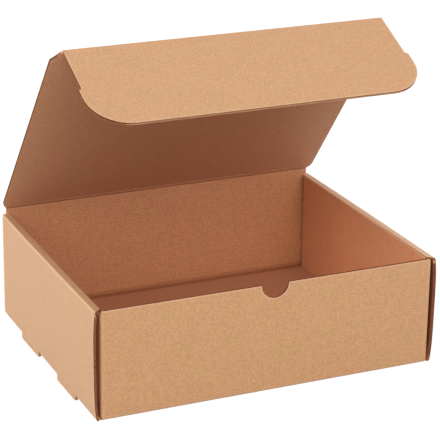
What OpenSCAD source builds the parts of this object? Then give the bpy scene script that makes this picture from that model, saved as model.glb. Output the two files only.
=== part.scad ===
// Corrugated mailer box: one die-cut sheet folded into a tray with rolled double side walls,
// a hinged lid and a tuck flap at the lid's front edge. It stands open, as in use.
// X runs along the width, the front wall faces -Y, and the feet stand on Z = 0.

/* [Board] */
// Thickness of the corrugated board
board_t = 2.5; // [2:0.1:3]
// Air between two layers of board that lie side by side
layer_gap = 0.15; // [0.1:0.05:0.3]
// Radius of a fold, at the middle of the board
fold_r = 1.6; // [1.55:0.05:2.5]
// Thickness of each liner
liner_t = 0.35; // [0.25:0.05:0.45]
// Thickness of the fluted paper between the liners
medium_t = 0.3; // [0.2:0.05:0.4]
// Length of one flute
flute_pitch = 6.5; // [5:0.1:9]
// Length of crushed board beside a moving fold
crush_l = 3; // [2:0.5:6]
// Width of the fluted paper in an edge that is cut along the flutes
edge_web = 0.7; // [0.4:0.05:1]
// Depth of the hollows in an edge that is cut along the flutes
edge_depth = 2.5; // [1:0.1:3]

/* [Tray] */
// Width of the front and back walls, over their side folds
front_w = 320; // [200:5:400]
// Depth over the outer faces of the front and back walls
tray_d = 256; // [180:2:320]
// Height of the front wall's top edge over the underside of the bottom
wall_h = 102.3; // [70:0.1:140]
// Height of the lid's hinge line over the top of the front wall
hinge_rise = 6.8; // [5:0.1:9]
// How far the side walls' inner faces stand inside the ends of the front wall
roll_inset = 2.9; // [2:0.1:4]
// How much further in the side walls stand at the back than at the front
side_taper = 2.2; // [0:0.1:2.4]
// How far the outer side panel stands off the front wall's fold at the bottom
side_standoff = 1.6; // [1:0.1:2.2]
// How far the outer side panel stands off the back wall's fold at the bottom
rear_standoff = 0.5; // [0.3:0.1:1]
// Outward bow of the outer side panels at half height, at the front
side_bow = 1.8; // [1:0.1:3]
// Setback of the outer side panels' front edge from the front face
side_setback = 0.8; // [0:0.1:2]
// Setback of the inner side panels' end edges from the front and back faces
roll_setback = 6.6; // [6:0.1:9]
// Cut-off at the lower back corners of the outer side panels
rear_chamfer = 4; // [2:0.5:6]
// Radius of the front wall's upper corners
top_corner_r = 3.5; // [1:0.1:5]
// Radius that the outer liner keeps at the side walls' top creases, over half the board
crease_r = 0.2; // [0.1:0.05:1.5]

/* [Corner flaps] */
// Length of the corner flaps that fold back between the side panels
corner_flap_l = 68; // [40:1:85]
// Height of the corner flaps' lower edge over the underside of the bottom
corner_flap_lift = 17; // [16:0.5:24]
// Clearance between a corner flap and the roll above it
corner_clear = 0.3; // [0.2:0.1:1]

/* [Feet and tabs] */
// Drop of the locking feet below the bottom
foot_drop = 4.2; // [3:0.1:6]
// Length of each locking foot
foot_l = 48; // [30:1:60]
// Distance of a foot's middle from the middle of the side
foot_y = 50; // [40:1:60]
// Radius of the feet's lower corners
foot_r = 2; // [1:0.1:3]
// Clearance at each end of an inner panel's tab in its slot
tab_clear = 1; // [0.5:0.1:2]

/* [Thumb notch] */
// Radius of the half-round notch in the front wall's top edge
notch_r = 13.2; // [9:0.1:18]
// Distance of the notch to the right of the front wall's middle
notch_x = 3.5; // [-20:0.5:20]

/* [Lid] */
// Width of the lid over its side edges
lid_w = 326.8; // [206:0.2:410]
// Length of the lid from its hinge line to the flap's fold
lid_l = 246; // [170:0.5:310]
// How far the lid's fold stops inside the ends of the back wall, on each side
crease_inset = 1; // [0.5:0.1:4]
// Length of the lid's rounded rear corners, along its side edges
rear_corner_l = 9; // [5:0.5:14]
// Length of the lid's cut front corners, along its side edges
front_corner_l = 11; // [6:0.5:16]
// Angle of the lid over the horizontal, in the pose that is shown
lid_open = 51.5; // [-1.2:0.1:150]

/* [Tuck flap] */
// Length of the tuck flap from its fold to its free edge
flap_l = 98.4; // [60:0.2:110]
// Clearance of the flap's ears inside the side walls
ear_clear = 0.4; // [0.3:0.1:1.5]
// Step from the flap's neck out to its ears, on each side
ear_step = 2.7; // [1:0.1:5]
// Distance of the ears' upper edge from the fold
ear_start = 50; // [30:1:60]
// Length of the slope between the neck and the ears
ear_slope = 1.6; // [0.5:0.1:4]
// Radius of the ears' lower corners
ear_r = 36; // [20:1:40]
// Bend of the flap out of the lid's plane, in the pose that is shown
flap_bend = 76.5; // [0:0.1:120]

/* [Fold lines] */
// Clearance between the two sides of a moving fold
crease_gap = 0.3; // [0.2:0.05:0.5]
// Extra relief on the inner side of a moving fold
crease_relief = 0.75; // [0.6:0.05:1]

/* [Hidden] */
fold_steps = 6;
bow_steps = 14;
loft_steps = 4;
flute_steps = 6;
// Share of a flute, on each side of its crest, that is glued to the liner
glued = 0.1;
cut = 1;
kraft = [0.80, 0.62, 0.45];
fold_out = fold_r + board_t / 2;
half_w = front_w / 2;
half_d = tray_d / 2;
floor_z = foot_drop;
wall_top = floor_z + wall_h;
// Underside of the strips on top of the side walls
strip_under = wall_top - board_t;
// Hinge line of the lid, in the middle of the board
pivot_y = half_d - board_t / 2;
pivot_z = wall_top + hinge_rise;
flap_root = board_t / 2 + crease_gap;
// Inner face of a liner, and swing of the fluted paper about the middle of the board
liner_in = board_t / 2 - liner_t;
swing = liner_in - medium_t / 2;

function unit(v) = v / norm(v);
function left_of(v) = [-v.y, v.x];
function lerp(a, b, s) = a + (b - a) * s;

// Layers of a rolled side wall at the depth y, from the inside out; they draw in towards the back
function draw_in(y) = pow((y + half_d) / tray_d, 2);
function inner_x(y) = half_w - roll_inset - side_taper * draw_in(y);
function corner_x(y) = inner_x(y) + board_t + layer_gap;
function top_x(y) = corner_x(y) + board_t + layer_gap;
function low_x(y) = half_w + lerp(side_standoff, rear_standoff, draw_in(y));

// Half widths of the lid's fold, and of the tuck flap at its ears and at its neck
crease_half = half_w - crease_inset;
ear_half = inner_x(-half_d) - ear_clear;
neck_half = ear_half - ear_step;

// Arc of radius r that rounds the corner b of the path a, b, c
function round_corner(a, b, c, r) =
    let (
        u = unit(a - b),
        v = unit(c - b),
        half = acos(max(-1, min(1, u * v))) / 2
    )
    half > 89.5 ? [b] :
    let (
        centre = b + unit(u + v) * r / sin(half),
        from = b + u * r / tan(half) - centre,
        side = sign(from.x * (b - centre).y - from.y * (b - centre).x),
        sweep = 180 - 2 * half
    )
    [for (i = [0:fold_steps])
        let (a = side * sweep * i / fold_steps)
        centre + [from.x * cos(a) - from.y * sin(a), from.x * sin(a) + from.y * cos(a)]];

// Path with the corners between first and last rounded by the radius of a fold
function folded(path, first = 1, last = 0) = [
    for (i = [0:len(path) - 1])
        each i < first || i > (last > 0 ? last : len(path) - 2) ? [path[i]] :
            round_corner(path[i - 1], path[i], path[i + 1], fold_r)
];

// Point of a path moved sideways by d, square to the board at that point
function side_point(path, i, d) =
    let (
        last = len(path) - 1,
        before = unit(path[max(i, 1)] - path[max(i, 1) - 1]),
        after = unit(path[min(i, last - 1) + 1] - path[min(i, last - 1)]),
        mid = unit(before + after)
    )
    path[i] + left_of(mid) * d / (mid * before);

// Closed outline of the layer between two distances from a path
function layer(path, from, to) = [
    for (i = [0:len(path) - 1]) side_point(path, i, to),
    for (i = [len(path) - 1:-1:0]) side_point(path, i, from)
];

// Closed outline of a strip of board whose middle follows the path
function board_outline(path) = layer(path, -board_t / 2, board_t / 2);

// Middle of the outer side panel at depth y and height share s, from the bottom fold to the top
function outer_panel(y, s) = [
    lerp(low_x(y), top_x(y), s) + board_t / 2
        + side_bow * (1 - draw_in(y)) * (1 - pow(1 - 2 * s, 4)),
    lerp(floor_z, strip_under, s) + board_t / 2
];

// Points of a rolled side wall's section before its folds are rounded
function roll_points(y) = [
    [0, floor_z + board_t / 2],
    for (i = [0:bow_steps]) outer_panel(y, i / bow_steps),
    [inner_x(y) + board_t / 2, strip_under + board_t / 2],
    [inner_x(y) + board_t / 2, floor_z + board_t + layer_gap]
];

// Section of one rolled side wall at depth y, from the middle of the bottom to the inner panel's
// lower edge; only the bottom fold and the two top folds are rounded, those on top by the radius r
function roll_path(y, r) =
    let (points = roll_points(y), top = bow_steps + 1, bottom = folded(points, 1, 1))
    [
        for (i = [0:fold_steps + 1]) bottom[i],
        for (i = [2:bow_steps]) points[i],
        each round_corner(points[top - 1], points[top], points[top + 1], r),
        each round_corner(points[top], points[top + 1], points[top + 2], r),
        points[top + 2]
    ];

// Closed outline of one rolled side wall; its inner liner bends softly at the top creases, and its
// outer liner keeps a crisp edge there
function roll_outline(y) =
    let (inside = roll_path(y, fold_r), outside = roll_path(y, crease_r))
    [
        for (i = [0:len(inside) - 1]) side_point(inside, i, board_t / 2),
        for (i = [len(outside) - 1:-1:0]) side_point(outside, i, -board_t / 2)
    ];

// Plan of half the front wall (side -1) or back wall (side 1) and of its corner flap, with the
// distance from the wall's outer face as the second number
function corner_path(side) = folded([
    [0, board_t / 2],
    [half_w - board_t / 2, board_t / 2],
    for (i = [0:loft_steps])
        let (d = lerp(roll_setback, corner_flap_l, i / loft_steps))
        [corner_x(side * (half_d - d)) + board_t / 2, d]
]);

// Section of the front wall, the bottom and the back wall
cross_path = folded([
    [-half_d + board_t / 2, wall_top],
    [-half_d + board_t / 2, floor_z + board_t / 2],
    [pivot_y, floor_z + board_t / 2],
    [pivot_y, pivot_z]
]);

// Half outline of the lid: distance across, distance along from the hinge line
lid_side = [
    for (i = [0:fold_steps])
        let (a = 90 * i / fold_steps)
        [lerp(crease_half, lid_w / 2, sin(a)), flap_root + rear_corner_l * (1 - cos(a))],
    [lid_w / 2, lid_l - front_corner_l],
    [neck_half, lid_l]
];

// Half outline of the tuck flap: distance across, distance along from its fold
flap_side = [
    [neck_half, flap_root],
    [neck_half, ear_start],
    [ear_half, ear_start + ear_slope],
    for (i = [0:2 * fold_steps])
        let (a = 90 * i / (2 * fold_steps))
        [ear_half - ear_r * (1 - cos(a)), flap_l - ear_r * (1 - sin(a))]
];

function mirrored(side) = [
    each side,
    for (i = [len(side) - 1:-1:0]) [-side[i].x, side[i].y]
];

// Hollow of one flute, between the fluted paper and the liner on one side (1 or -1) of it
function hollow(at, side) = [
    [at - (0.5 - glued) * flute_pitch, side * liner_in],
    for (i = [0:flute_steps])
        let (s = lerp(glued, 1 - glued, i / flute_steps))
        [at + (s - 0.5) * flute_pitch, side * (swing * cos(360 * s) + medium_t / 2)],
    [at + (0.5 - glued) * flute_pitch, side * liner_in]
];

// Hollows of the flutes between two places along the board, drawn in its section
module flutes(from, to) {
    for (k = [1:floor(2 * (to - from) / flute_pitch) - 1])
        polygon(hollow(from + k * flute_pitch / 2, k % 2 == 0 ? 1 : -1));
}

module both_sides() {
    children();
    mirror([1, 0, 0]) children();
}

// Extrudes an outline drawn in X and Z along Y, between two depths
module along_y(y0, y1) {
    translate([0, y1, 0]) rotate([90, 0, 0]) linear_extrude(y1 - y0) children();
}

// Extrudes an outline drawn in Y and Z along X, over both halves of a width
module along_x(half) {
    translate([-half, 0, 0]) rotate([90, 0, 90]) linear_extrude(2 * half) children();
}

// Closed solid through outlines of a strip of board, with equally many points, each at its own depth
module loft(outlines, depths) {
    n = len(outlines[0]);
    last = len(depths) - 1;
    polyhedron(
        [for (k = [0:last]) for (p = outlines[k]) [p.x, depths[k], p.y]],
        [
            for (i = [0:n / 2 - 2])
                let (quad = [i, i + 1, n - 2 - i, n - 1 - i])
                each [quad, [for (c = [3:-1:0]) last * n + quad[c]]],
            for (k = [0:last - 1]) for (i = [0:n - 1])
                let (j = (i + 1) % n)
                each [
                    [k * n + j, k * n + i, (k + 1) * n + i],
                    [k * n + j, (k + 1) * n + i, (k + 1) * n + j]
                ]
        ]
    );
}

// Bottom, outer panel, top strip and inner panel of one side, before its ends are cut
module roll_blank() {
    depths = [for (k = [0:loft_steps]) lerp(-half_d + side_setback, half_d, k / loft_steps)];
    loft([for (y = depths) roll_outline(y)], depths);
}

// Hollows in the outer panel's front or back edge, which is cut along the flutes
module edge_hollows(y) {
    path = [for (i = [0:bow_steps]) outer_panel(y, lerp(0.05, 0.95, i / bow_steps))];
    along_y(y - edge_depth, y + edge_depth) {
        polygon(layer(path, edge_web / 2, liner_in));
        polygon(layer(path, -liner_in, -edge_web / 2));
    }
}

// One rolled side wall
module roll() {
    front = -half_d + side_setback;
    difference() {
        roll_blank();
        // The inner panel's front and back edges stop short of the corner flaps' folds
        for (ends = [[-half_d - cut, -half_d + roll_setback], [half_d - roll_setback, half_d + cut]])
            translate([inner_x(ends[1]) - cut, ends[0], floor_z + board_t / 2])
                cube([
                    inner_x(ends[0]) - inner_x(ends[1]) + cut + board_t + layer_gap / 2,
                    roll_setback + cut,
                    wall_h - board_t - fold_out
                ]);
        // The strip's front edge slants back from the outer to the inner panel
        translate([0, 0, strip_under - fold_out]) linear_extrude(2 * fold_out)
            polygon([
                [inner_x(front) - cut, -half_d - cut],
                [top_x(front) + board_t + side_bow, -half_d - cut],
                [top_x(front) + board_t, front],
                [inner_x(front), -half_d + roll_setback],
                [inner_x(front) - cut, -half_d + roll_setback]
            ]);
        // The bottom and its side fold stop at the front and back folds
        for (y = [-half_d - cut, half_d - fold_out])
            translate([0, y, floor_z - cut])
                cube([low_x(y + cut), fold_out + cut, fold_out + cut]);
        // Cut-off lower back corner of the outer panel
        translate([low_x(half_d) - cut, half_d, floor_z])
            rotate([45, 0, 0]) translate([0, -rear_chamfer, -rear_chamfer / sqrt(2)])
                cube([board_t + side_bow + 2 * cut, 2 * rear_chamfer, rear_chamfer * sqrt(2)]);
        edge_hollows(front);
        edge_hollows(half_d);
    }
}

// Front wall (side -1) or back wall (side 1) up to a height, with its two corner flaps
module end_folds(side, top) {
    x0 = inner_x(half_d) - board_t;
    flap_box = [half_w + 2 * board_t - x0, corner_flap_l, 3 * board_t];
    mirror([0, side > 0 ? 1 : 0, 0]) difference() {
        translate([0, -half_d, floor_z + fold_out])
            linear_extrude(top - floor_z - fold_out)
                both_sides() polygon(board_outline(corner_path(side)));
        both_sides() translate([x0, -half_d + fold_out, 0]) {
            cube([flap_box.x, flap_box.y, floor_z + corner_flap_lift]);
            translate([0, 0, strip_under - corner_clear]) cube(flap_box);
        }
    }
}

// What is cut away outside the rounded upper corners of the front wall
module front_corners() {
    both_sides() along_y(-half_d - cut, -half_d + fold_out + cut)
        translate([half_w - top_corner_r, wall_top - top_corner_r]) difference() {
            square(top_corner_r + cut);
            circle(top_corner_r, $fn = 48);
        }
}

// Thumb notch, and the flutes that it cuts across
module notch() {
    translate([notch_x, -half_d - cut, wall_top]) rotate([-90, 0, 0])
        cylinder(h = board_t + 2 * cut, r = notch_r, $fn = 96);
    translate([notch_x, 0, 0]) along_x(notch_r + flute_pitch)
        down_front_wall() flutes(flute_pitch / 4, notch_r + 3 * flute_pitch / 4);
}

// Places a section, drawn along the board from 0, downwards from the front wall's top edge
module down_front_wall() {
    translate([-half_d + board_t / 2, wall_top]) rotate(-90) children();
}

// Locking foot of the outer panel at the depth y
module foot(y) {
    translate([low_x(y), y, 0]) difference() {
        rotate([90, 0, 90]) linear_extrude(board_t) {
            translate([-foot_l / 2, foot_r]) square([foot_l, foot_drop + board_t - foot_r]);
            translate([-foot_l / 2 + foot_r, 0]) square([foot_l - 2 * foot_r, foot_drop]);
            for (end = [-1, 1]) translate([end * (foot_l / 2 - foot_r), foot_r])
                circle(foot_r, $fn = 24);
        }
        translate([board_t / 2, 0, -cut]) linear_extrude(foot_drop + cut) rotate(90)
            flutes(-foot_l / 2, foot_l / 2);
    }
}

// Tab of the inner panel, in the slot that the foot leaves in the bottom
module inner_tab(y) {
    translate([inner_x(y), y - foot_l / 2 + tab_clear, floor_z])
        cube([board_t, foot_l - 2 * tab_clear, board_t + 2 * layer_gap]);
}

module slot(y) {
    translate([low_x(y) - foot_drop, y - foot_l / 2, floor_z - cut])
        cube([foot_drop, foot_l, board_t + cut + layer_gap / 2]);
}

module tray() {
    color(kraft) {
        difference() {
            union() {
                both_sides() roll();
                end_folds(-1, wall_top);
                end_folds(1, strip_under - corner_clear);
                along_x(crease_half) polygon(board_outline(cross_path));
                translate([-crease_half, pivot_y, pivot_z]) rotate([0, 90, 0])
                    cylinder(h = 2 * crease_half, r = board_t / 2, $fn = 32);
            }
            notch();
            front_corners();
            // The front wall's top edge is cut along the flutes
            along_x(half_w - 2 * top_corner_r)
                down_front_wall() flutes(-3 * flute_pitch / 4, 3 * flute_pitch / 4);
            both_sides() for (y = [-foot_y, foot_y]) slot(y);
        }
        both_sides() for (y = [-foot_y, foot_y]) {
            foot(y);
            inner_tab(y);
        }
    }
}

// Lid lying flat: hinge line on the X axis, front edge towards -Y, outer face up
module lid_flat() {
    difference() {
        translate([0, 0, -board_t / 2]) linear_extrude(board_t)
            polygon([for (p = mirrored(lid_side)) [p.x, -p.y]]);
        along_x(lid_w / 2 + cut) flutes(-lid_l + crush_l, -flap_root - crush_l);
    }
    translate([-neck_half, -lid_l, 0]) rotate([0, 90, 0])
        cylinder(h = 2 * neck_half, r = board_t / 2, $fn = 32);
}

// Tuck flap lying flat: fold on the X axis, free edge towards -Y, outer face up
module flap_flat() {
    difference() {
        translate([0, 0, -board_t / 2]) linear_extrude(board_t)
            polygon([for (p = mirrored(flap_side)) [p.x, -p.y]]);
        // Crushed inner edge, which lets the flap bend past a right angle
        along_x(neck_half + cut)
            polygon([
                [-flap_root + cut, 0],
                [-flap_root, 0],
                [-flap_root - crease_relief, -board_t / 2 - layer_gap],
                [-flap_root + cut, -board_t / 2 - layer_gap]
            ]);
        // The free edge cuts along the last flute
        along_x(ear_half + cut)
            flutes(-flap_l - 3 * flute_pitch / 4, -flap_root - crease_relief - crush_l);
    }
}

// Places its children on the open lid, which turns about the hinge line
module on_lid() {
    translate([0, pivot_y, pivot_z]) rotate([-lid_open, 0, 0]) children();
}

module lid() {
    color(kraft) on_lid() lid_flat();
}

module tuck_flap() {
    color(kraft) on_lid()
        translate([0, -lid_l, 0]) rotate([flap_bend, 0, 0]) flap_flat();
}

tray();
lid();
tuck_flap();
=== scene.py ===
"""Looks of a corrugated mailer box: kraft liners, cut edges, folded creases and the studio.

Sizes are in metres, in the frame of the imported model: the front wall faces -Y, the lid hinges
at +Y, and the feet stand on Z = 0.
"""

from __future__ import annotations

import logging
import math
from dataclasses import dataclass, field
from enum import Enum
from typing import Union

import bpy
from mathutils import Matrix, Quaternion, Vector


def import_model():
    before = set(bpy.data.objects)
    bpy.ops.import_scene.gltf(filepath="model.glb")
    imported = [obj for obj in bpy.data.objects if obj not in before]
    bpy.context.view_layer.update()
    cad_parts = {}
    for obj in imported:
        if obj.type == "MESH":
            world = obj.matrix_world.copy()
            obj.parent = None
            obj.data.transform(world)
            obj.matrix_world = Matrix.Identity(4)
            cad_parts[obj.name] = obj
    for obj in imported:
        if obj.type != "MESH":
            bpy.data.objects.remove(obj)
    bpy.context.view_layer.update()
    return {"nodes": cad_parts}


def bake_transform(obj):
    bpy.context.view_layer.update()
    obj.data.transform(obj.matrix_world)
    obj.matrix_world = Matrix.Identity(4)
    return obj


log = logging.getLogger("mailer_box")

Colour = tuple[float, float, float, float]
Point = tuple[float, float, float]
Pair = tuple[float, float]
Socket = bpy.types.NodeSocket
Value = Union[Socket, float, Colour]

COLOUR, FLOAT, VECTOR = "NodeSocketColor", "NodeSocketFloat", "NodeSocketVector"
SAME: Point = (1.0, 1.0, 1.0)

# The board's thickness, the pitch of the ridges that show through its liners, and how far
# under a face its cut edges begin
BOARD = 0.0025
RIDGE_PITCH = 0.0034
SKIN = 0.00008

# How far a surface faces a way at least, to count as facing it a little, half or mostly
LITTLE = 0.25
HALF = 0.5
MOST = 0.7

WHITE: Colour = (1.0, 1.0, 1.0, 1.0)
# Colour of the paler rims: part scuffing, part painted highlight
WORN_AND_HIGHLIGHT: Colour = (0.860, 0.560, 0.360, 1.0)
# Colour of painted shade in hollows, gaps, corners and creases
PAINTED_SHADE: Colour = (0.250, 0.066, 0.030, 1.0)
FLECK: Colour = (0.780, 0.520, 0.330, 1.0)
RED_TINT: Colour = (1.015, 0.975, 1.005, 1.0)
GREEN_TINT: Colour = (0.990, 1.020, 0.965, 1.0)


class Paper(Enum):
    """The papers of the board, and the outer liner with painted bounce light for the rolled
    walls, as the light and the dark tone of their mottling.
    """

    OUTER = ((0.686, 0.366, 0.176, 1.0), (0.520, 0.262, 0.117, 1.0))
    # The outer liner on the rolled walls' inner faces, redder and brighter: painted bounce light
    ROLLED = ((0.930, 0.424, 0.190, 1.0), (0.720, 0.303, 0.124, 1.0))
    INNER = ((0.634, 0.296, 0.138, 1.0), (0.506, 0.214, 0.091, 1.0))
    CORE = ((0.440, 0.205, 0.100, 1.0), (0.300, 0.122, 0.055, 1.0))


@dataclass
class Wiring:
    """Short calls for placing and linking shader nodes in one tree.

    Attributes:
        tree: The material's or group's node tree.
        roughness: Roughness of every noise.
    """

    tree: bpy.types.NodeTree
    roughness: float = 0.65

    def node(self, kind: str, **settings: object) -> bpy.types.Node:
        """Adds a node.

        Args:
            kind: The node's type.
            settings: Properties of the node to set.

        Returns:
            The node.
        """
        made = self.tree.nodes.new(kind)
        for name, value in settings.items():
            setattr(made, name, value)
        return made

    def feed(self, socket: Socket, value: Value) -> None:
        """Links a socket, or sets a plain value, into an input."""
        if isinstance(value, Socket):
            self.tree.links.new(value, socket)
        else:
            socket.default_value = value

    def feed_all(self, node: bpy.types.Node, values: tuple[Value, ...]) -> bpy.types.Node:
        """Feeds a node's inputs in their order, and gives the node back."""
        for socket, value in zip(node.inputs, values):
            self.feed(socket, value)
        return node

    def math(self, kind: str, *values: Value, clamp: bool = False) -> Socket:
        """Adds a Math node.

        Args:
            kind: The operation.
            values: Its inputs, as sockets or numbers.
            clamp: Whether the result is kept between 0 and 1.

        Returns:
            The result.
        """
        made = self.node("ShaderNodeMath", operation=kind, use_clamp=clamp)
        return self.feed_all(made, values).outputs[0]

    def vector(self, kind: str, *values: Value) -> bpy.types.NodeOutputs:
        """Adds a Vector Math node.

        Args:
            kind: The operation.
            values: Its inputs, as sockets or vectors.

        Returns:
            The node's outputs by name.
        """
        return self.feed_all(self.node("ShaderNodeVectorMath", operation=kind), values).outputs

    def place(self) -> Socket:
        """The coordinates of the object itself."""
        return self.node("ShaderNodeTexCoord").outputs["Object"]

    def split(self, source: Socket) -> tuple[Socket, Socket, Socket]:
        """Splits a vector into X, Y and Z."""
        made = self.feed_all(self.node("ShaderNodeSeparateXYZ"), (source,))
        return made.outputs[0], made.outputs[1], made.outputs[2]

    def remap(
        self, source: Value, low: float, high: float, start: float = 0.0, end: float = 1.0
    ) -> Socket:
        """Maps low to start and high to end, and holds the value outside them.

        Args:
            source: The value.
            low: Value that becomes start.
            high: Value that becomes end.
            start: Result at low.
            end: Result at high.

        Returns:
            The mapped value.
        """
        made = self.node("ShaderNodeMapRange")
        names = ("Value", "From Min", "From Max", "To Min", "To Max")
        for name, value in zip(names, (source, low, high, start, end)):
            self.feed(made.inputs[name], value)
        return made.outputs["Result"]

    def above(self, source: Socket, limit: float) -> Socket:
        """A mask that is 1 where the value is over a limit."""
        return self.math("GREATER_THAN", source, limit)

    def below(self, source: Socket, limit: float) -> Socket:
        """A mask that is 1 where the value is under a limit."""
        return self.math("LESS_THAN", source, limit)

    def between(self, source: Socket, low: float, high: float) -> Socket:
        """A mask that is 1 where the value is over the low limit and under the high one."""
        return self.every(self.above(source, low), self.below(source, high))

    def towards(self, place: Socket, edge: float, fade: Pair) -> Socket:
        """A mask that goes from 0 to 1 between two distances before an edge."""
        return self.remap(place, edge - fade[0], edge - fade[1])

    def every(self, *masks: Value) -> Socket:
        """A mask that is 1 where every given mask is, or a mask weakened by a number."""
        result = masks[0]
        for mask in masks[1:]:
            result = self.math("MULTIPLY", result, mask)
        return result

    def either(self, *masks: Value) -> Socket:
        """A mask that is 1 where at least one given mask is."""
        result = masks[0]
        for mask in masks[1:]:
            result = self.math("MAXIMUM", result, mask)
        return result

    def flip(self, mask: Value) -> Socket:
        """A mask that is 1 where the given one is 0."""
        return self.math("SUBTRACT", 1.0, mask)

    def minus(self, first: Value, second: Value) -> Socket:
        """The difference of two values."""
        return self.math("SUBTRACT", first, second)

    def absolute(self, source: Socket) -> Socket:
        """A value without its sign."""
        return self.math("ABSOLUTE", source)

    def seen(self) -> Socket:
        """A mask that is 1 for what is seen directly or in a mirror."""
        path = self.node("ShaderNodeLightPath").outputs
        rays = ("Is Camera Ray", "Is Glossy Ray", "Is Transmission Ray")
        return self.either(*(path[ray] for ray in rays))

    def mix_shaders(self, factor: Value, first: Socket, second: Socket) -> Socket:
        """Mixes two shaders by the share of the second."""
        made = self.node("ShaderNodeMixShader")
        return self.feed_all(made, (factor, first, second)).outputs[0]

    def mix(self, factor: Value, first: Value, second: Value, blend: str = "MIX") -> Socket:
        """Mixes two colours.

        Args:
            factor: Share of the second colour.
            first: The first colour.
            second: The second colour.
            blend: How the second colour is laid over the first.

        Returns:
            The mixed colour.
        """
        made = self.node("ShaderNodeMix", data_type="RGBA", blend_type=blend)
        chosen = {"Factor_Float": factor, "A_Color": first, "B_Color": second}
        for socket in made.inputs:
            if socket.identifier in chosen:
                self.feed(socket, chosen[socket.identifier])
        return next(s for s in made.outputs if s.identifier == "Result_Color")

    def noise(self, place: Socket, scale: float, detail: float, stretch: Point = SAME) -> Socket:
        """Adds a noise texture on a stretched place.

        Args:
            place: The coordinates.
            scale: Features per metre.
            detail: Octaves of finer detail.
            stretch: Scale of each axis before the noise.

        Returns:
            The noise, around one half.
        """
        mapping = self.node("ShaderNodeMapping")
        self.feed(mapping.inputs["Vector"], place)
        self.feed(mapping.inputs["Scale"], stretch)
        made = self.node("ShaderNodeTexNoise")
        self.feed(made.inputs["Vector"], mapping.outputs["Vector"])
        self.feed(made.inputs["Scale"], scale)
        self.feed(made.inputs["Detail"], detail)
        self.feed(made.inputs["Roughness"], self.roughness)
        return made.outputs["Fac"]


@dataclass(frozen=True)
class Layer:
    """One layer of the paper's look, made of noise.

    Attributes:
        scale: Features per metre.
        detail: Octaves of finer detail.
        span: Noise that becomes 0, and noise that becomes 1.
        stretch: Scale of each axis before the noise.
        share: Share of the layer in the mottling.
        ends: Results at the two ends of the span.
    """

    scale: float
    detail: float
    span: Pair
    stretch: Point = SAME
    share: float = 0.0
    ends: Pair = (0.0, 1.0)


class Fibre(Enum):
    """The layers of the paper's look."""

    GRAIN = Layer(760.0, 3.0, (0.30, 0.70), share=0.50)
    FINE = Layer(1500.0, 3.0, (0.32, 0.68), share=0.33)
    CLOUDS = Layer(38.0, 4.0, (0.30, 0.70), share=0.04)
    STREAKS = Layer(520.0, 3.0, (0.32, 0.68), (0.10, 1.0, 1.0), share=0.05)
    UPRIGHT = Layer(620.0, 3.0, (0.32, 0.68), (1.0, 1.0, 0.08), share=0.08)
    DRIFT = Layer(75.0, 3.0, (0.35, 0.65))
    SPECKS = Layer(1150.0, 1.0, (0.70, 0.80), (0.35, 1.0, 1.0))
    FLECKS = Layer(900.0, 1.0, (0.72, 0.80), (1.0, 0.4, 1.0))
    RIDGES = Layer(16.0, 2.0, (0.35, 0.70), ends=(0.25, 1.0))
    HOLLOWS = Layer(260.0, 1.0, (0.35, 0.60), ends=(0.30, 0.90))

    def mask(self, w: Wiring) -> Socket:
        """Places the layer in the object's own coordinates."""
        layer = self.value
        noise = w.noise(w.place(), layer.scale, layer.detail, layer.stretch)
        return w.remap(noise, *layer.span, *layer.ends)


def new_group(
    name: str, inputs: dict[str, str], outputs: dict[str, str]
) -> tuple[Wiring, dict[str, Socket], dict[str, Socket]]:
    """Makes a node group with its sockets.

    Args:
        name: Name of the group.
        inputs: Socket type of each named input.
        outputs: Socket type of each named output.

    Returns:
        The group's wiring, the sockets that read its inputs, and those that feed its outputs.
    """
    tree = bpy.data.node_groups.new(name, "ShaderNodeTree")
    for side, sockets in (("INPUT", inputs), ("OUTPUT", outputs)):
        for label, kind in sockets.items():
            tree.interface.new_socket(name=label, in_out=side, socket_type=kind)
    w = Wiring(tree)
    entry, leave = w.node("NodeGroupInput").outputs, w.node("NodeGroupOutput").inputs
    return w, {s.name: s for s in entry if s.name}, {s.name: s for s in leave if s.name}


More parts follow.
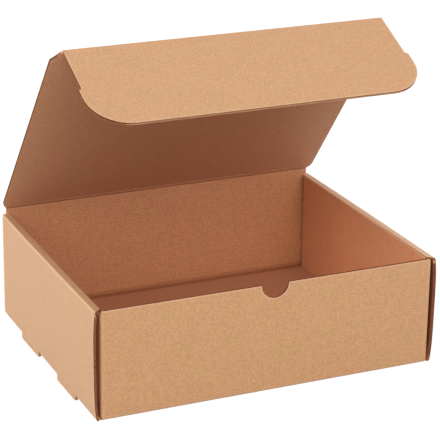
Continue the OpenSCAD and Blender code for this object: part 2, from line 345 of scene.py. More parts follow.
@dataclass
class PaperGroups:
    """Node groups that every board material shares.

    Attributes:
        dark_share: Share of the dark tone where the mottling is at its mean.
        speck: Strength of the dark specks.
        fleck: Strength of the pale flecks.
        rough: Lowest and highest roughness of the paper.
        fine_relief: Share of the fine layer in the relief, beside the grain.
        wander: How far the flutes' ridges wander.
        wander_scale: Bends of the ridges per metre.
        groups: The groups by name.
    """

    dark_share: float = 0.32
    speck: float = 0.45
    fleck: float = 0.30
    rough: Pair = (0.60, 0.76)
    fine_relief: float = 0.4
    wander: float = 0.003
    wander_scale: float = 9.0
    groups: dict[str, bpy.types.NodeTree] = field(default_factory=dict)

    def build(self) -> None:
        """Makes the shared groups once."""
        self._fibres()
        self._washboard()
        self._panel_place()

    def place(self, w: Wiring, name: str, **inputs: Value) -> bpy.types.NodeOutputs:
        """Places a group in a material.

        Args:
            w: The material's wiring.
            name: Name of the group.
            inputs: Values or sockets of its inputs.

        Returns:
            The group's outputs by name.
        """
        made = w.node("ShaderNodeGroup", node_tree=self.groups[name])
        for label, value in inputs.items():
            w.feed(made.inputs[label], value)
        return made.outputs

    def _fibres(self) -> None:
        """Mottled colour, grain, and dark and light specks of unbleached paper."""
        w, entry, leave = new_group(
            "kraft_fibres",
            {"Light": COLOUR, "Dark": COLOUR, "Contrast": FLOAT},
            {"Color": COLOUR, "Roughness": FLOAT, "Height": FLOAT},
        )
        grain, fine = Fibre.GRAIN.mask(w), Fibre.FINE.mask(w)
        mottling = w.every(grain, Fibre.GRAIN.value.share)
        mottling = w.math("MULTIPLY_ADD", fine, Fibre.FINE.value.share, mottling)
        for fibre in (Fibre.CLOUDS, Fibre.STREAKS, Fibre.UPRIGHT):
            mottling = w.math("MULTIPLY_ADD", fibre.mask(w), fibre.value.share, mottling)
        centred = w.minus(mottling, 0.5)
        darkness = w.math("MULTIPLY_ADD", centred, entry["Contrast"], self.dark_share, clamp=True)
        body = w.mix(darkness, entry["Light"], entry["Dark"])
        specks, flecks = Fibre.SPECKS.mask(w), Fibre.FLECKS.mask(w)
        body = w.mix(w.every(specks, self.speck), body, entry["Dark"])
        body = w.mix(w.every(flecks, self.fleck), body, FLECK)
        tint = w.mix(Fibre.DRIFT.mask(w), RED_TINT, GREEN_TINT)
        relief = w.every(fine, self.fine_relief)
        relief = w.math("MULTIPLY_ADD", grain, 1.0 - self.fine_relief, relief)
        w.feed(leave["Color"], w.mix(1.0, body, tint, "MULTIPLY"))
        w.feed(leave["Roughness"], w.remap(fine, 0.0, 1.0, *self.rough))
        w.feed(leave["Height"], relief)
        self.groups["fibres"] = w.tree

    def _washboard(self) -> None:
        """Faint ridges of the flutes that show through a liner, stronger in some places."""
        w, entry, leave = new_group("washboard", {"Across": FLOAT}, {"Height": FLOAT})
        wander = w.noise(w.place(), self.wander_scale, 1.0)
        shifted = w.math("MULTIPLY_ADD", wander, self.wander, entry["Across"])
        wave = w.math("SINE", w.every(shifted, 2 * math.pi / RIDGE_PITCH))
        w.feed(leave["Height"], w.every(wave, Fibre.RIDGES.mask(w)))
        self.groups["washboard"] = w.tree

    def _panel_place(self) -> None:
        """Distances along and out of a flat panel, from a point on its fold."""
        w, entry, leave = new_group(
            "panel_place",
            {"Fold": VECTOR, "Run": VECTOR, "Face": VECTOR},
            {"Along": FLOAT, "Outward": FLOAT},
        )
        offset = w.vector("SUBTRACT", w.place(), entry["Fold"])["Vector"]
        for label, way in (("Along", "Run"), ("Outward", "Face")):
            w.feed(leave[label], w.vector("DOT_PRODUCT", offset, entry[way])["Value"])
        self.groups["panel_place"] = w.tree


@dataclass
class Masks:
    """Where a board shows what, as masks in one material.

    Attributes:
        inner: The inner liner.
        core: Cut edges.
        rim: Paler edges and creases, part scuffing and part painted highlight.
        across: Place across the flutes, in metres.
        shade: Painted shade in hollows, gaps, corners and creases that light hardly reaches.
        rolled: The inner faces of the rolled side walls, which get the outer liner with painted
            bounce light.
        lean: How far the surface leans towards +X, where paper sags between two creases.
        dull: Paper without any gloss.
    """

    inner: Value
    core: Value
    rim: Value
    across: Socket
    shade: Value
    rolled: Value = 0.0
    lean: Value = 0.0
    dull: Value = 0.0


@dataclass(frozen=True)
class BoardFinish:
    """Kraft board: two liners and a fluted core, each with its own tone.

    Attributes:
        name: Name of the material.
        contrast: Strength of the mottling.
        inner_contrast: How much more of that the inner liner has, as a factor.
        wear_and_highlight: Strength of the paler rims, which are part scuffing and part painted
            highlight.
        specular: Specular level of the paper.
        sheen: Weight of the paper's sheen.
        sheen_rough: Roughness of the sheen.
        ridge: Height of the flutes' print-through on the inner liner.
        outer_ridge: Share of that height on the outer liner.
        grain: Depth of the paper's grain.
        grain_strength: Strength of the grain's relief.
    """

    name: str
    contrast: float = 3.20
    inner_contrast: float = 1.1
    wear_and_highlight: float = 0.60
    specular: float = 0.50
    sheen: float = 0.20
    sheen_rough: float = 0.5
    ridge: float = 0.00005
    outer_ridge: float = 0.25
    grain: float = 0.00005
    grain_strength: float = 0.8

    def masks(self, w: Wiring, groups: PaperGroups) -> Masks:
        """Finds this board's papers, cuts, paler rims (scuffing and painted highlight) and shaded
        places.

        Args:
            w: The material's wiring.
            groups: The shared node groups.

        Returns:
            The masks.
        """
        raise NotImplementedError

    def material(self, groups: PaperGroups) -> bpy.types.Material:
        """Builds the material.

        Args:
            groups: The shared node groups.

        Returns:
            The finished material.
        """
        made = bpy.data.materials.new(self.name)
        made.use_nodes = True
        w = Wiring(made.node_tree)
        found = self.masks(w, groups)
        light, dark = (self._tone(w, found, tone) for tone in (0, 1))
        more = self.inner_contrast * self.contrast
        contrast = w.math("MULTIPLY_ADD", found.inner, more, self.contrast)
        paper = groups.place(w, "fibres", Light=light, Dark=dark, Contrast=contrast)
        # Paler rims: scuffing on cut edges, and painted highlight on cut edges, folds, creases
        # and the right side's top
        worn_and_highlit = w.mix(w.every(found.rim, self.wear_and_highlight), paper["Color"], WORN_AND_HIGHLIGHT)
        gloss = w.flip(w.either(found.core, found.dull, found.shade))
        shader = made.node_tree.nodes["Principled BSDF"]
        for label, value in (
            ("Base Color", w.mix(found.shade, worn_and_highlit, PAINTED_SHADE)),
            ("Roughness", paper["Roughness"]),
            ("Specular IOR Level", w.every(gloss, self.specular)),
            ("Sheen Weight", w.every(gloss, self.sheen)),
            ("Sheen Roughness", self.sheen_rough),
            ("Normal", self._relief(w, groups, found, paper["Height"])),
        ):
            w.feed(shader.inputs[label], value)
        return made

    def _relief(self, w: Wiring, groups: PaperGroups, found: Masks, grain: Socket) -> Socket:
        """The normal, with the flutes' ridges, the grain and the lean of sagging paper."""
        ridges = groups.place(w, "washboard", Across=found.across)["Height"]
        outer = self.outer_ridge
        ridges = w.every(ridges, w.math("MULTIPLY_ADD", found.inner, 1.0 - outer, outer))
        coarse, fine = w.node("ShaderNodeBump"), w.node("ShaderNodeBump")
        w.feed(coarse.inputs["Distance"], self.ridge)
        w.feed(coarse.inputs["Height"], ridges)
        w.feed(fine.inputs["Distance"], self.grain)
        w.feed(fine.inputs["Strength"], self.grain_strength)
        w.feed(fine.inputs["Height"], grain)
        w.feed(fine.inputs["Normal"], coarse.outputs["Normal"])
        lean = w.feed_all(w.node("ShaderNodeCombineXYZ"), (found.lean,))
        leant = w.vector("ADD", fine.outputs["Normal"], lean.outputs["Vector"])["Vector"]
        return w.vector("NORMALIZE", leant)["Vector"]

    @staticmethod
    def _tone(w: Wiring, found: Masks, tone: int) -> Socket:
        """The light (0) or the dark (1) tone of the paper that lies at each place."""
        colour = w.mix(found.inner, Paper.OUTER.value[tone], Paper.INNER.value[tone])
        colour = w.mix(found.rolled, colour, Paper.ROLLED.value[tone])
        return w.mix(found.core, colour, Paper.CORE.value[tone])


@dataclass
class Spot:
    """Sockets that tell where a point of the tray lies and which way it faces.

    Attributes:
        x: Place across the box.
        y: Place from front to back.
        z: Height.
        wide: Distance from the middle, across the box.
        deep: Distance from the middle, towards the front or the back.
        to_side: How far the surface faces either side.
        to_end: How far the surface faces the front or the back.
        up: How far the surface faces up.
    """

    x: Socket
    y: Socket
    z: Socket
    wide: Socket
    deep: Socket
    to_side: Socket
    to_end: Socket
    up: Socket

    @classmethod
    def read(cls, w: Wiring) -> Spot:
        """Reads a spot from the object's own coordinates."""
        place = w.node("ShaderNodeTexCoord")
        x, y, z = w.split(place.outputs["Object"])
        sideways, endways, up = w.split(place.outputs["Normal"])
        wide, deep, to_side, to_end = map(w.absolute, (x, y, sideways, endways))
        return cls(x, y, z, wide, deep, to_side, to_end, up)


@dataclass(frozen=True)
class TrayFinish(BoardFinish):
    """Board of the tray, whose parts are told apart by place and by facing.

    A fade is a pair of distances, between which a mask goes from 0 to 1.

    Attributes:
        side: Distance of the ends of the front wall from the middle.
        depth: Distance of the front and back faces from the middle.
        top: Height of the front wall's top edge.
        floor: Height just under the bottom's upper side.
        notch_x: Place of the thumb notch across the front wall.
        notch_r: Radius of the thumb notch.
        notch_low: How far under the top edge the notch's cut edge reaches.
        bow: Bow of the outer side panels at the front.
        panel_z: Heights of the lower and the upper fold of the outer side panels.
        panel_out: How far out of the front wall's ends their middle lies at those heights.
        taper: How much less that is at the back.
        crease_out: How far out of the front wall's ends the outer creases lie.
        strip: Width of the side walls' top strips.
        strip_drop: How far the strips lie under the top edge at most.
        web: Half of the width of the fluted paper in a cut edge.
        liner: Thickness of a liner.
        end_shade: Shade on the cut ends of the side walls.
        gap_shade: Shade in the gaps beside the end walls.
        floor_shade: Shade on the bottom and low on the inner faces.
        corner_shade: Shade in the corner at the foot of the back wall.
        beside_shade: Shade on the rolled walls where they meet the back wall.
        cut_rim: Paleness of the front wall's cut edges, part scuffing and part painted highlight.
        fold_rim: Painted highlight along the front wall's folds.
        crest_rim: Painted highlight along the top of the right side.
        sag: Lean of the top strips towards the inside.
        strip_dull: How dull the left strip is.
        gap_fade: Where the gaps' shade sets in, from the end faces.
        corner_fade: Where the shade at the back wall's foot sets in, from the back face.
        corner_z: Heights between which it sets in.
        beside_from: Place from front to back where the rolled walls' shade sets in.
        cut_fade: Where the paler rim sets in, from a cut edge of the front wall.
        fold_fade: Where it sets in, from the front wall's upright folds.
        foot_fade: Heights between which it sets in at the lowest fold.
        crease_fade: Where it sets in, from the outer creases.
        crease_drop: Where it sets in there, from the top edge.
        end_fade: Where it sets in on the side panels, from the end faces.
    """

    side: float = 0.160
    depth: float = 0.128
    top: float = 0.1065
    floor: float = 0.0055
    notch_x: float = 0.0035
    notch_r: float = 0.0132
    notch_low: float = 0.016
    bow: float = 0.0018
    panel_z: Pair = (0.00545, 0.10525)
    panel_out: Pair = (0.00285, 0.00365)
    taper: Pair = (0.0011, 0.0022)
    crease_out: float = 0.0049
    strip: float = 0.007
    strip_drop: float = 0.003
    web: float = 0.00035
    liner: float = 0.00035
    end_shade: float = 0.40
    gap_shade: float = 0.82
    floor_shade: float = 0.30
    corner_shade: float = 0.7
    beside_shade: float = 0.48
    cut_rim: float = 0.9
    fold_rim: float = 0.30
    crest_rim: float = 0.85
    sag: float = 0.26
    strip_dull: float = 0.6
    gap_fade: Pair = (0.0003, 0.0016)
    corner_fade: Pair = (0.009, 0.004)
    corner_z: Pair = (0.0115, 0.0075)
    beside_from: float = 0.030
    cut_fade: Pair = (0.0016, 0.0002)
    fold_fade: Pair = (0.004, 0.0008)
    foot_fade: Pair = (0.0085, 0.0050)
    crease_fade: Pair = (0.0016, 0.0004)
    crease_drop: Pair = (0.0022, 0.0006)
    end_fade: Pair = (0.0027, 0.0012)

    def masks(self, w: Wiring, groups: PaperGroups) -> Masks:
        """Finds the tray's papers, cuts, paler rims (scuffing and painted highlight) and shaded
        places.
        """
        at = Spot.read(w)
        inside = w.below(at.wide, self.side - 0.003)
        on_top = w.every(w.above(at.up, LITTLE), w.above(at.z, self.top - 0.0040))
        inner = w.every(
            w.below(at.to_side, HALF),
            inside,
            w.below(at.deep, self.depth - BOARD + 2 * SKIN),
            w.above(at.z, self.floor),
            w.flip(on_top),
        )
        rolled = w.every(
            w.above(at.to_side, HALF),
            w.below(at.wide, self.side - 0.0015),
            w.above(at.z, self.floor),
        )
        cut_top, cut_ends = self._cut_top(w, at, inside), self._cut_ends(w, at)
        draw_in = w.math("POWER", w.remap(at.y, -self.depth, self.depth), 2.0)
        middle = self._panel_middle(w, at, draw_in)
        # Painted shade in hollows, cut ends, the front wall's top edge, gaps, corners and low on
        # the inner faces
        shade = w.either(
            self._hollows(w, at, middle),
            w.every(cut_ends, self.end_shade),
            cut_top,
            self._gap_shade(w, at, middle),
            self._corner_shade(w, at, inside, rolled),
            w.every(inner, w.below(at.z, 0.012), self.floor_shade),
        )
        strip = w.every(
            w.above(at.up, 0.6),
            w.above(at.wide, self.side - self.strip),
            w.above(at.z, self.top - self.strip_drop),
        )
        return Masks(
            inner=inner,
            core=w.either(cut_top, cut_ends),
            rim=self._rims(w, at, middle, draw_in, on_top),
            across=self._across(w, at),
            shade=shade,
            rolled=rolled,
            lean=w.every(w.math("SIGN", at.x), strip, -self.sag),
            dull=w.every(strip, w.below(at.x, 0.0), self.strip_dull),
        )

    def _cut_top(self, w: Wiring, at: Spot, inside: Socket) -> Socket:
        """The cut edge along the front wall's top and in the thumb notch."""
        return w.every(
            w.below(at.y, 0.0),
            w.between(at.deep, self.depth - BOARD + SKIN, self.depth - SKIN),
            w.above(at.z, self.top - self.notch_low),
            inside,
        )

    def _cut_ends(self, w: Wiring, at: Spot) -> Socket:
        """The cut ends of the outer side panels and of the top strips."""
        panel = w.every(
            w.above(at.wide, self.side + 0.0001),
            w.above(at.to_end, HALF),
            w.above(at.deep, self.depth - 0.0010),
        )
        strip = w.every(
            w.above(at.to_side, LITTLE),
            w.above(at.to_end, 0.4),
            w.above(at.z, self.top - self.strip_drop),
            w.above(at.deep, self.depth - 0.008),
        )
        return w.either(panel, strip)

    def _hollows(self, w: Wiring, at: Spot, middle: Socket) -> Socket:
        """The two rows of hollows in the side panels' ends, beside the fluted paper."""
        away = w.absolute(w.minus(at.wide, middle))
        return w.every(
            w.above(at.wide, self.side + 0.0001),
            w.between(at.z, 0.009, self.top - 0.005),
            w.above(at.deep, self.depth - 0.0034),
            w.between(away, self.web, BOARD / 2 - self.liner),
        )

    def _panel_middle(self, w: Wiring, at: Spot, draw_in: Socket) -> Socket:
        """Distance of the middle of the outer side panels from the middle of the box."""
        share = w.remap(at.z, *self.panel_z)
        low, high = (
            w.math("MULTIPLY_ADD", draw_in, -taper, self.side + out)
            for taper, out in zip(self.taper, self.panel_out)
        )
        straight = w.math("MULTIPLY_ADD", w.minus(high, low), share, low)
        from_middle = w.absolute(w.math("MULTIPLY_ADD", share, 2.0, -1.0))
        curve = w.flip(w.math("POWER", from_middle, 4.0))
        bow = w.every(w.math("MULTIPLY_ADD", draw_in, -self.bow, self.bow), curve)
        return w.math("ADD", straight, bow)

    def _gap_shade(self, w: Wiring, at: Spot, middle: Socket) -> Socket:
        """Shade in the narrow gaps between the outer side panels and the end walls' folds."""
        flap = w.every(
            w.above(at.to_side, 0.35),
            w.between(at.wide, self.side - BOARD, self.side + 0.0003),
        )
        panel = w.every(
            w.above(at.to_side, HALF),
            w.above(w.minus(middle, at.wide), 0.0011),
            w.above(at.wide, self.side + 0.0003),
        )
        within = w.towards(at.deep, self.depth, self.gap_fade)
        return w.every(w.either(flap, panel), within, self.gap_shade)

    def _corner_shade(self, w: Wiring, at: Spot, inside: Socket, rolled: Socket) -> Socket:
        """Shade at the foot of the back wall, and on the rolled walls beside it."""
        near = w.every(
            w.towards(at.y, self.depth, self.corner_fade),
            w.remap(at.z, *self.corner_z),
            inside,
        )
        beside = w.every(rolled, w.remap(at.y, self.beside_from, self.depth))
        return w.either(w.every(near, self.corner_shade), w.every(beside, self.beside_shade))

    def _rims(self, w: Wiring, at: Spot, middle: Socket, draw_in: Socket, top: Socket) -> Socket:
        """Paler rims of the front wall, the side panels' ends and the side walls' tops: scuffing
        and painted highlight at cut edges, and painted highlight on the creases and the right
        side's top.
        """
        front = w.every(
            w.below(at.y, 0.0002 - self.depth),
            w.below(at.wide, self.side),
            self._front_rim(w, at),
        )
        # Painted highlight along the outer creases of the side walls
        crease_x = w.math("MULTIPLY_ADD", draw_in, -self.taper[1], self.side + self.crease_out)
        crease = w.every(
            w.remap(w.minus(crease_x, at.wide), *self.crease_fade),
            w.towards(at.z, self.top, self.crease_drop),
        )
        end = w.every(
            w.above(at.to_side, MOST),
            w.above(w.minus(at.wide, middle), 0.0010),
            w.towards(at.deep, self.depth, self.end_fade),
        )
        # Painted highlight along the top of the right side only
        crest = w.every(top, w.above(at.wide, self.side - self.strip), w.above(at.x, 0.0))
        return w.either(front, crease, end, w.every(crest, self.crest_rim))

    def _front_rim(self, w: Wiring, at: Spot) -> Socket:
        """Paler rims of the front wall: its cut edges, part scuffing and part painted highlight,
        and a fainter painted highlight along its folds.
        """
        cut = w.either(
            w.towards(at.z, self.top, self.cut_fade),
            w.remap(self._from_notch(w, at), *self.cut_fade),
        )
        folds = w.either(
            w.towards(at.wide, self.side, self.fold_fade),
            w.remap(at.z, *self.foot_fade),
        )
        return w.either(w.every(cut, self.cut_rim), w.every(folds, self.fold_rim))

    def _from_notch(self, w: Wiring, at: Spot) -> Socket:
        """Distance from the edge of the thumb notch, in the plane of the front wall."""
        over, up = (
            w.math("POWER", w.absolute(w.minus(place, centre)), 2.0)
            for place, centre in ((at.x, self.notch_x), (at.z, self.top))
        )
        return w.minus(w.math("SQRT", w.math("ADD", over, up)), self.notch_r)

    @staticmethod
    def _across(w: Wiring, at: Spot) -> Socket:
        """Place across the flutes: upwards on the end walls, and from front to back elsewhere."""
        upright = w.above(at.to_end, MOST)
        return w.math("ADD", w.every(at.z, upright), w.every(at.y, w.flip(upright)))


@dataclass(frozen=True)
class PanelFinish(BoardFinish):
    """Board of a flat panel that hangs on a fold.

    Attributes:
        fold: A point on the panel's fold, in the middle of the board.
        run: Direction of the panel away from its fold.
        face: Direction of the panel's outer face.
        length: Length of the panel from its fold.
        half_width: Half of the panel's width.
        corner: Radius of the corners at the free end.
        neck: How much narrower each side is near the fold.
        neck_end: Distance from the fold at which the neck ends.
        sheltered: Shade in the middle of the inner face.
        edge_rim: Paleness along the edges of the outer face, part scuffing and part painted
            highlight.
        edge_fade: Distances from those edges between which it sets in.
        hollow_fade: Distances from the board's middle between which its hollows set in.
    """

    fold: Point = (0.0, 0.0, 0.0)
    run: Point = (0.0, -1.0, 0.0)
    face: Point = (0.0, 0.0, 1.0)
    length: float = 0.1
    half_width: float = 0.16
    corner: float = 0.004
    neck: float = 0.0
    neck_end: float = 0.0
    sheltered: float = 0.0
    edge_rim: float = 0.75
    edge_fade: Pair = (0.0014, 0.0003)
    hollow_fade: Pair = (0.0010, 0.0006)

    def masks(self, w: Wiring, groups: PaperGroups) -> Masks:
        """Finds the panel's papers, cuts, paler rims (scuffing and painted highlight) and shaded
        places.
        """
        found = groups.place(w, "panel_place", Fold=self.fold, Run=self.run, Face=self.face)
        along, outward = found["Along"], found["Outward"]
        wide = w.absolute(w.split(w.place())[0])
        surface = BOARD / 2 - SKIN
        from_middle = w.absolute(outward)
        on_panel = w.between(along, 0.0016, self.length - 0.0014)
        core = w.every(w.below(from_middle, surface), on_panel)
        hollow = w.every(
            core, w.remap(from_middle, *self.hollow_fade), Fibre.HOLLOWS.mask(w)
        )
        edge = w.remap(self._from_edge(w, wide, along), *self.edge_fade)
        inner = w.below(outward, -surface)
        middle = w.flip(w.math("POWER", w.remap(wide, 0.0, self.half_width), 2.0))
        return Masks(
            inner=inner,
            core=core,
            rim=w.every(w.above(outward, surface), edge, self.edge_rim),
            across=along,
            shade=w.either(w.every(inner, middle, self.sheltered), hollow),
        )

    def _from_edge(self, w: Wiring, wide: Socket, along: Socket) -> Socket:
        """Distance from the panel's outline, apart from its fold."""
        over, past = (
            w.either(w.minus(place, end - self.corner), 0.0)
            for place, end in ((wide, self.half_width), (along, self.length))
        )
        reach = w.math("ADD", w.every(over, over), w.every(past, past))
        ear = w.minus(self.corner, w.math("SQRT", reach))
        return w.minus(ear, w.every(w.below(along, self.neck_end), self.neck))


@dataclass(frozen=True)
class LinerFinish(BoardFinish):
    """One liner by itself, as it runs over a fold.

    Attributes:
        inside: Whether it is the inner liner.
        crease: Height of a crease that lies in its own shade.
        crease_shade: Shade along that crease.
        crease_fade: Distances from it between which the shade sets in.
    """

    inside: bool = False
    crease: float = 1.0
    crease_shade: float = 0.5
    crease_fade: Pair = (0.0014, 0.0004)

    def masks(self, w: Wiring, groups: PaperGroups) -> Masks:
        """Finds the liner's paper and the shade along its crease."""
        z = w.split(w.place())[2]
        line = w.remap(w.absolute(w.minus(z, self.crease)), *self.crease_fade)
        shade = w.every(line, self.crease_shade)
        return Masks(inner=float(self.inside), core=0.0, rim=0.0, across=z, shade=shade)


@dataclass
class Fold:
    """Skin of liner that runs over a moving fold, from one body to the next.

    Attributes:
        name: Name of the piece.
        bodies: The two bodies that the fold joins.
        pivot: Place of the fold's axis, as Y and Z.
        angles: Angles of the two boards' faces, in degrees over +Y.
        runs: Directions away from the fold along the first and the second board, as Y and Z.
        half_width: Half of the fold's length.
        lap: How far the skin runs on over each board.
        proud: Height of the skin over the boards.
        paper: Thickness of the liner.
        steps: Number of steps over the bend.
        spans: Number of spans along the fold.
        smooth: Angle up to which faces are shaded as one, in degrees.
    """

    name: str
    bodies: tuple[str, str]
    pivot: Pair
    angles: Pair
    runs: tuple[Pair, Pair]
    half_width: float
    lap: float = 0.0045
    proud: float = 0.00003
    paper: float = 0.00028
    steps: int = 16
    spans: int = 24
    smooth: float = 35.0

    def build(self) -> bpy.types.Object:
        """Models the skin as a strip that is bent over the fold and given its thickness.

        Returns:
            The finished piece.
        """
        section = self._section()
        rows = len(section) - 1
        bpy.ops.object.select_all(action="DESELECT")
        bpy.ops.mesh.primitive_grid_add(x_subdivisions=self.spans, y_subdivisions=rows, size=1.0)
        skin = bpy.context.object
        skin.name = self.name
        for vertex in skin.data.vertices:
            y, z = section[round((vertex.co.y + 0.5) * rows)]
            vertex.co = (vertex.co.x * 2 * self.half_width, y, z)
        shell = skin.modifiers.new("paper", "SOLIDIFY")
        shell.thickness = self.paper
        shell.offset = 1.0 if self._faces_pivot(skin) else -1.0
        bpy.ops.object.modifier_apply(modifier=shell.name)
        bpy.ops.object.mode_set(mode="EDIT")
        bpy.ops.mesh.select_all(action="SELECT")
        bpy.ops.mesh.normals_make_consistent(inside=False)
        bpy.ops.object.mode_set(mode="OBJECT")
        bpy.ops.object.shade_smooth_by_angle(angle=math.radians(self.smooth))
        return skin

    def _point(self, angle: float, run: Pair = (0.0, 0.0), along: float = 0.0) -> Pair:
        """A point on the skin, at an angle about the axis and a distance along a board."""
        reach = BOARD / 2 + self.proud
        turn = math.radians(angle)
        return (
            self.pivot[0] + reach * math.cos(turn) + run[0] * along,
            self.pivot[1] + reach * math.sin(turn) + run[1] * along,
        )

    def _section(self) -> list[Pair]:
        """Points of the skin's section from the first board, over the fold, to the second."""
        first, last = self.angles
        step = (last - first) / self.steps
        over = [self._point(first + step * i) for i in range(self.steps + 1)]
        before = [self._point(first, self.runs[0], self.lap * share) for share in (1.0, 0.5)]
        after = [self._point(last, self.runs[1], self.lap * share) for share in (0.5, 1.0)]
        return before + over + after

    def _faces_pivot(self, skin: bpy.types.Object) -> bool:
        """Whether the strip's faces look towards the fold's axis."""
        skin.data.update()
        face = skin.data.polygons[len(skin.data.polygons) // 2]
        inward = Vector((0.0, self.pivot[0] - face.center.y, self.pivot[1] - face.center.z))
        return face.normal.dot(inward) > 0

    def attach(self, skin: bpy.types.Object, finish: bpy.types.Material, slot: str) -> None:
        """Dresses the skin and bakes its place into its mesh.

        Args:
            skin: The skin's object.
            finish: Its material.
            slot: Not used.
        """
        skin.data.materials.append(finish)
        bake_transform(skin)


def turn_towards(eye: Point, target: Point) -> Quaternion:
    """The turn of a lamp or a camera that stands at one point and faces another."""
    return (Vector(target) - Vector(eye)).to_track_quat("-Z", "Y")


@dataclass(frozen=True)
class Lamp:
    """One soft, square area lamp.

    Attributes:
        name: Name of the lamp.
        place: Where it hangs.
        power: Its power in watts.
        size: Side of the lamp.
        tint: Colour of its light.
        aim: The point that it faces.
    """

    name: str
    place: Point
    power: float
    size: float = 1.2
    tint: Point = (1.0, 1.0, 1.0)
    aim: Point = (0.0, 0.0, 0.1)

    def build(self) -> None:
        """Hangs the lamp."""
        data = bpy.data.lights.new(self.name, "AREA")
        data.shape = "SQUARE"
        data.size = self.size
        data.energy = self.power
        data.color = self.tint
        lamp = bpy.data.objects.new(self.name, data)
        bpy.context.collection.objects.link(lamp)
        lamp.location = self.place
        lamp.rotation_mode = "QUATERNION"
        lamp.rotation_quaternion = turn_towards(self.place, self.aim)


@dataclass
class Studio:
    """Camera, lamps, floor and backdrop.

    Attributes:
        eye: Place of the camera.
        target: A point on the camera's axis.
        roll: Turn of the camera about its axis, in degrees.
        lens: Focal length.
        sensor: Width of the sensor.
        clip: Nearest and farthest distance that the camera sees.
        ambient: Strength of the even light.
        lamps: The lamps.
        floor_size: Side of the floor.
        floor_tone: Tone of the floor for the light that it throws back.
        floor_rough: Roughness of the floor.
        floor_specular: Specular level of the floor.
        floor_glow: How bright the floor looks where it is seen.
        floor_shade: How strongly the floor shows the box's shadow.
    """

    eye: Point = (-0.68501, -1.52931, 0.74866)
    target: Point = (0.0, -0.01598, 0.12775)
    roll: float = 0.818
    lens: float = 157.95
    sensor: float = 36.0
    clip: Pair = (0.05, 50.0)
    ambient: float = 0.20
    lamps: tuple[Lamp, ...] = (
        Lamp("front_lamp", (-0.1, -2.05, 1.65), 34.5, size=2.0),
        Lamp("front_right_lamp", (1.4, -1.9, 1.1), 10.5, size=2.0),
        Lamp("left_back_lamp", (-1.9, 0.9, 0.9), 26.0, tint=(0.93, 1.0, 1.02)),
        Lamp("left_lamp", (-2.0, -1.0, 1.2), 12.5, tint=(0.97, 1.0, 1.0)),
        Lamp("right_back_lamp", (1.5, 1.6, 1.3), 18.0),
        Lamp("top_lamp", (0.1, 0.9, 2.2), 7.0),
    )
    floor_size: float = 24.0
    floor_tone: float = 0.62
    floor_rough: float = 0.95
    floor_specular: float = 0.1
    floor_glow: float = 1.16
    floor_shade: float = 0.15

    def build(self) -> None:
        """Makes the camera, the world, the floor and the lamps."""
        self._camera()
        self._world()
        self._floor()
        for lamp in self.lamps:
            lamp.build()

    def _camera(self) -> None:
        """Sets the camera at the photograph's viewpoint."""
        data = bpy.data.cameras.new("photo_camera")
        data.sensor_width = self.sensor
        data.lens = self.lens
        data.clip_start, data.clip_end = self.clip
        camera = bpy.data.objects.new("photo_camera", data)
        bpy.context.collection.objects.link(camera)
        camera.location = self.eye
        camera.rotation_mode = "QUATERNION"
        roll = Quaternion((0, 0, 1), math.radians(self.roll))
        camera.rotation_quaternion = turn_towards(self.eye, self.target) @ roll
        bpy.context.scene.camera = camera

    def _world(self) -> None:
        """Soft even light, with a white surround where it is seen or mirrored."""
        world = bpy.data.worlds.new("studio")
        bpy.context.scene.world = world
        world.use_nodes = True
        world.node_tree.nodes.clear()
        w = Wiring(world.node_tree)
        soft, white = (
            w.feed_all(w.node("ShaderNodeBackground"), (WHITE, strength)).outputs[0]
            for strength in (self.ambient, 1.0)
        )
        leave = w.node("ShaderNodeOutputWorld")
        w.feed(leave.inputs["Surface"], w.mix_shaders(w.seen(), soft, white))

    def _floor(self) -> None:
        """A plain floor that is white where it is seen, and keeps a soft shadow."""
        bpy.ops.object.select_all(action="DESELECT")
        bpy.ops.mesh.primitive_plane_add(size=self.floor_size, location=(0.0, 0.0, 0.0))
        floor = bpy.context.object
        floor.name = "floor"
        made = bpy.data.materials.new("floor_white")
        made.use_nodes = True
        w = Wiring(made.node_tree)
        shader = made.node_tree.nodes["Principled BSDF"]
        w.feed(shader.inputs["Base Color"], (self.floor_tone,) * 3 + (1.0,))
        w.feed(shader.inputs["Roughness"], self.floor_rough)
        w.feed(shader.inputs["Specular IOR Level"], self.floor_specular)
        white = w.feed_all(w.node("ShaderNodeEmission"), (WHITE, self.floor_glow))
        share = w.every(w.seen(), 1.0 - self.floor_shade)
        mixed = w.mix_shaders(share, shader.outputs[0], white.outputs[0])
        w.feed(made.node_tree.nodes["Material Output"].inputs["Surface"], mixed)
        floor.data.materials.append(made)


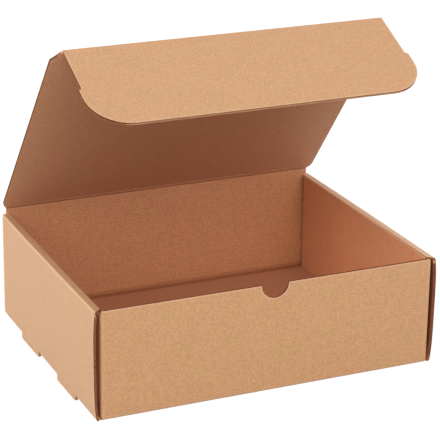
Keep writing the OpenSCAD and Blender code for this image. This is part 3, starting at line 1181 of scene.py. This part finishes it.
@dataclass
class MailerBox:
    """The folded box: its three packed panels and the skins over its two moving folds.

    Attributes:
        lid_fold: Middle of the fold between the back wall and the lid.
        flap_fold: Middle of the fold between the lid and the tuck flap.
        lid_angle: Angle of the lid over the horizontal, in degrees.
        flap_bend: Bend of the tuck flap out of the lid's plane, in degrees.
        crease_half: Half of the length of the lid's fold.
        neck_half: Half of the length of the flap's fold.
        groups: The node groups that the materials share.
    """

    lid_fold: Point = (0.0, 0.12675, 0.1133)
    flap_fold: Point = (0.0, -0.026388, 0.305822)
    lid_angle: float = 51.5
    flap_bend: float = 76.5
    crease_half: float = 0.1590
    neck_half: float = 0.1539
    groups: PaperGroups = field(default_factory=PaperGroups)

    def build(self, nodes: dict[str, bpy.types.Object]) -> None:
        """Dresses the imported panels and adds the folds' skins.

        Args:
            nodes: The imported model's nodes.
        """
        self.groups.build()
        for node, finish in self._finishes().items():
            material = finish.material(self.groups)
            for slot in nodes[node].material_slots:
                slot.material = material
            log.info("dressed %s", node)
        outer = LinerFinish("fold_outer_kraft").material(self.groups)
        inner_liner = LinerFinish("fold_inner_kraft", inside=True, crease=self.lid_fold[2])
        inner = inner_liner.material(self.groups)
        for fold in self._folds():
            finish = inner if fold.name.endswith("inner") else outer
            fold.attach(fold.build(), finish, f"{fold.bodies[0]}_board")
            log.info("folded %s", fold.name)

    def _finishes(self) -> dict[str, BoardFinish]:
        """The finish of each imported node."""
        lid_run, lid_face = self._directions(180.0 - self.lid_angle)
        flap_run, flap_face = self._directions(180.0 - self.lid_angle + self.flap_bend)
        return {
            "tray": TrayFinish("tray_kraft"),
            "lid": PanelFinish(
                "lid_kraft", fold=self.lid_fold, run=lid_run, face=lid_face,
                length=0.246, half_width=0.1634, sheltered=0.36,
            ),
            "tuck_flap": PanelFinish(
                "flap_kraft", fold=self.flap_fold, run=flap_run, face=flap_face,
                length=0.0984, half_width=0.1567, corner=0.036,
                neck=0.0027, neck_end=0.0505,
            ),
        }

    def _folds(self) -> tuple[Fold, ...]:
        """The skins over the two moving folds."""
        lid_run = self._directions(180.0 - self.lid_angle)[0][1:]
        flap_run = self._directions(180.0 - self.lid_angle + self.flap_bend)[0][1:]
        tilt = 90.0 - self.lid_angle
        at_lid = (("tray", "lid"), self.lid_fold[1:])
        at_flap = (("lid", "tuck_flap"), self.flap_fold[1:])
        down, back = (0.0, -1.0), (-lid_run[0], -lid_run[1])
        outer, inner = (0.0, tilt), (180.0, 180.0 + tilt)
        bent = (tilt, tilt + self.flap_bend)
        return (
            Fold("lid_fold_outer", *at_lid, outer, (down, lid_run), self.crease_half),
            Fold("lid_fold_inner", *at_lid, inner, (down, lid_run), self.crease_half),
            Fold("flap_fold_outer", *at_flap, bent, (back, flap_run), self.neck_half),
        )

    @staticmethod
    def _directions(angle: float) -> tuple[Point, Point]:
        """Directions along a panel and out of its outer face.

        Args:
            angle: Angle of the panel over +Y, in degrees.

        Returns:
            The direction away from the fold and the direction of the outer face.
        """
        turn = math.radians(angle)
        return (0.0, math.cos(turn), math.sin(turn)), (0.0, math.sin(turn), -math.cos(turn))


def main() -> None:
    """Builds the studio and the box."""
    logging.basicConfig(level=logging.INFO, format="%(name)s: %(message)s")
    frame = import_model()
    bpy.context.scene.view_settings.view_transform = "Standard"
    Studio().build()
    MailerBox().build(frame["nodes"])


if __name__ == "__main__":
    main()
